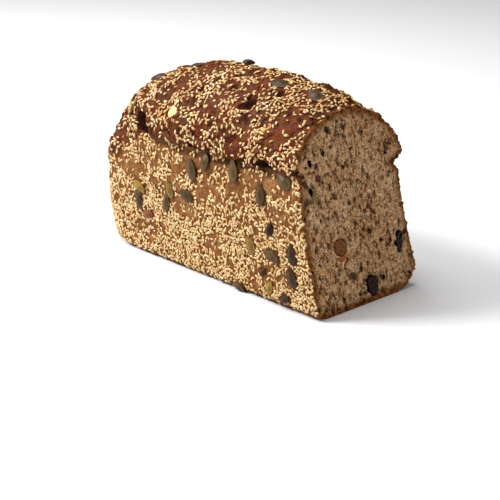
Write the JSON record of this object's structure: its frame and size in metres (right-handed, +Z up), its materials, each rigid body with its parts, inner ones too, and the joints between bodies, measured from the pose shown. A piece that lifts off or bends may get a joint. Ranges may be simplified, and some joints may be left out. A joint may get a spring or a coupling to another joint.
{
  "type": "muesli bread loaf",
  "caption": "Cut tin-baked loaf of dark fruit-and-seed bread with a domed, seeded crust and a sloping cut face that shows the crumb.",
  "frame": {"origin": "middle of the box round the loaf, on the flat base it rests on", "axes": "+X along the loaf towards the cut face, -X towards the uncut heel, +Z up, -Y towards the side with the shallow crease under its lip"},
  "size_m": [0.2222, 0.098, 0.1353],
  "materials": {
    "crust_and_crumb": null,
    "raisin": null,
    "sultana": null
  },
  "bodies": {
    "root": {"loaf": "crust_and_crumb", "raisin_low": "raisin", "raisin_side": "raisin", "sultana": "sultana"}
  },
  "joints": []
}
